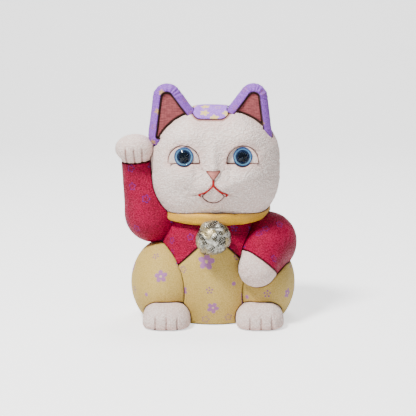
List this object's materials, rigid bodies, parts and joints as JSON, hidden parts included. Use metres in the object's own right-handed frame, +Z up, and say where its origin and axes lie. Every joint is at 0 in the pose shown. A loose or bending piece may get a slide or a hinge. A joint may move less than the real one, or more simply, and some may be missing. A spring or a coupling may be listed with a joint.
{
  "type": "beckoning cat figurine",
  "caption": "Seated cloth-covered cat figurine with one paw raised beside its head, padded collar with a ball bell, and a flat felt base.",
  "frame": {"origin": "on the resting face, under the axis of the turned torso", "axes": "+Z up, the cat faces -Y, its own right side (the raised paw) is at -X"},
  "size_m": [0.1569, 0.1201, 0.2055],
  "materials": {
    "felt": "short wool felt",
    "bell_ball": "turned wooden ball",
    "brocade": "metallic brocade, silver and pale gold",
    "gold_crepe": "fine crepe, mustard gold with printed mauve flowers",
    "wood_paste": "pressed paulownia wood paste, sanded",
    "white_crepe": "puckered silk crepe, warm white",
    "collar_cloth": "padded satin roll, golden yellow",
    "purple_crepe": "puckered silk crepe, purple",
    "lilac_crepe": "fine silk crepe, lilac",
    "crimson_crepe": "puckered silk crepe, crimson with small printed flowers",
    "ear_cloth": "plain woven cloth, dusty rose",
    "eye_glass": "clear, polished",
    "eye_blue": "blue lacquer behind glass",
    "eye_black": "black lacquer",
    "red_cord": "twisted silk cord, red",
    "dowel_wood": "plain beech",
    "nose_cloth": "smooth cloth, dusty pink"
  },
  "bodies": {
    "root": {"base_felt": "felt", "bell_core": "bell_ball", "bell_cover": "brocade", "belly_cover": "gold_crepe", "body_core_front": "wood_paste", "body_core_rear": "wood_paste", "chin_patch": "white_crepe", "collar_roll": "collar_cloth", "face_cover": "white_crepe", "head_core_front": "wood_paste", "head_core_rear": "wood_paste", "hood_back": "purple_crepe", "hood_crown": "lilac_crepe", "jacket_back": "crimson_crepe", "left_ear_cover": "purple_crepe", "left_ear_inner": "ear_cloth", "left_eye_glass": "eye_glass", "left_eye_iris": "eye_blue", "left_eye_pupil": "eye_black", "left_eye_stem": "eye_glass", "left_eye_white": "white_crepe", "left_foot_cover": "white_crepe", "left_jacket_front": "crimson_crepe", "left_mouth_cord": "red_cord", "left_thigh_cover": "gold_crepe", "lowered_arm_core": "wood_paste", "lowered_arm_dowel": "dowel_wood", "lowered_paw_cover": "white_crepe", "lowered_sleeve": "crimson_crepe", "neck_dowel": "dowel_wood", "nose_patch": "nose_cloth", "raised_arm_core": "wood_paste", "raised_arm_dowel": "dowel_wood", "raised_paw_cover": "white_crepe", "raised_sleeve": "crimson_crepe", "right_ear_cover": "purple_crepe", "right_ear_inner": "ear_cloth", "right_eye_glass": "eye_glass", "right_eye_iris": "eye_blue", "right_eye_pupil": "eye_black", "right_eye_stem": "eye_glass", "right_eye_white": "white_crepe", "right_foot_cover": "white_crepe", "right_jacket_front": "crimson_crepe", "right_mouth_cord": "red_cord", "right_thigh_cover": "gold_crepe", "seat_cover": "gold_crepe"}
  },
  "joints": []
}
